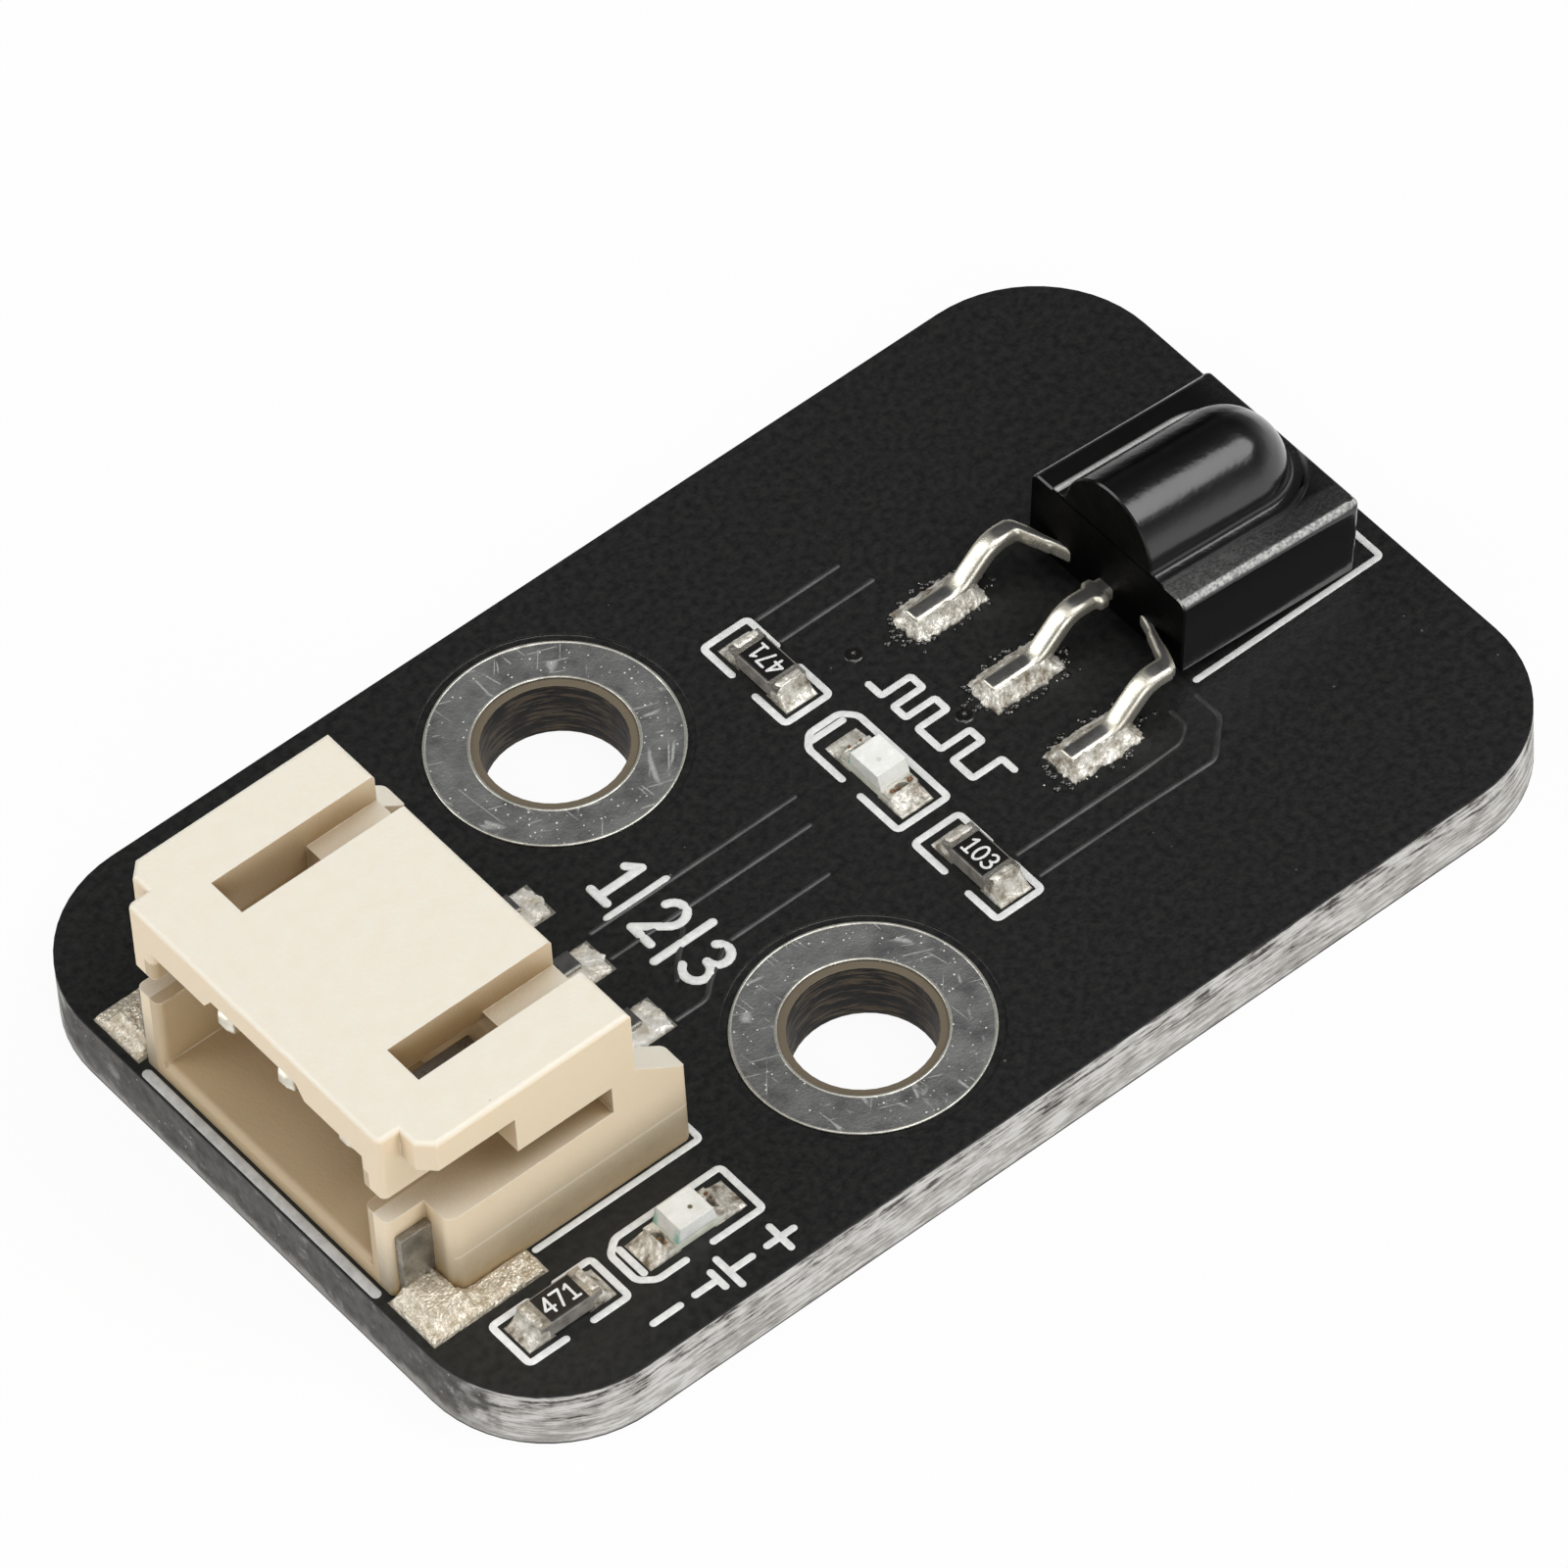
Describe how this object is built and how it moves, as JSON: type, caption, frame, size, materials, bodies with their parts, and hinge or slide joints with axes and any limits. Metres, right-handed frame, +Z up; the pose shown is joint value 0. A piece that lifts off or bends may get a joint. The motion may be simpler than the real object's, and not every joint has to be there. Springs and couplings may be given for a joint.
{
  "type": "infrared receiver module",
  "caption": "Small black circuit board with an infrared receiver on formed leads, a beige side-entry socket, two lamps and two fixing holes.",
  "frame": {"origin": "centre of the board's underside", "axes": "+X from the socket to the receiver, +Y to the left, +Z up through the board"},
  "size_m": [0.0288, 0.0178, 0.0068],
  "materials": {
    "board": "satin solder mask over glass fibre",
    "housing": "smooth moulded nylon",
    "epoxy": "gloss moulded epoxy",
    "tin": "tin plate",
    "solder": "reflowed solder",
    "silicon": "polished",
    "ceramic": "fired",
    "coat": "glazed",
    "lamp_base": "laminate",
    "lens": "clear epoxy"
  },
  "bodies": {
    "root": {"circuit_board": "board", "mounting_ring_left": "tin", "mounting_ring_right": "tin", "contact_lands": "tin", "anchor_lands": "tin", "receiver_lands": "tin", "chip_lands": "tin", "socket_housing": "housing", "socket_contact_1": "tin", "socket_contact_2": "tin", "socket_contact_3": "tin", "socket_anchor_left": "tin", "socket_anchor_right": "tin", "receiver_body": "epoxy", "receiver_lead_left": "tin", "receiver_lead_middle": "tin", "receiver_lead_right": "tin", "photodiode_chip": "silicon", "amplifier_chip": "silicon", "resistor_1_ceramic": "ceramic", "resistor_1_caps": "tin", "resistor_1_coat": "coat", "resistor_2_ceramic": "ceramic", "resistor_2_caps": "tin", "resistor_2_coat": "coat", "resistor_3_ceramic": "ceramic", "resistor_3_caps": "tin", "resistor_3_coat": "coat", "signal_led_base": "lamp_base", "signal_led_terminals": "tin", "signal_led_lens": "lens", "signal_led_chip": "silicon", "power_led_base": "lamp_base", "power_led_terminals": "tin", "power_led_lens": "lens", "power_led_chip": "silicon", "contact_solder": "solder", "anchor_solder": "solder", "receiver_solder": "solder", "chip_solder": "solder"}
  },
  "joints": []
}
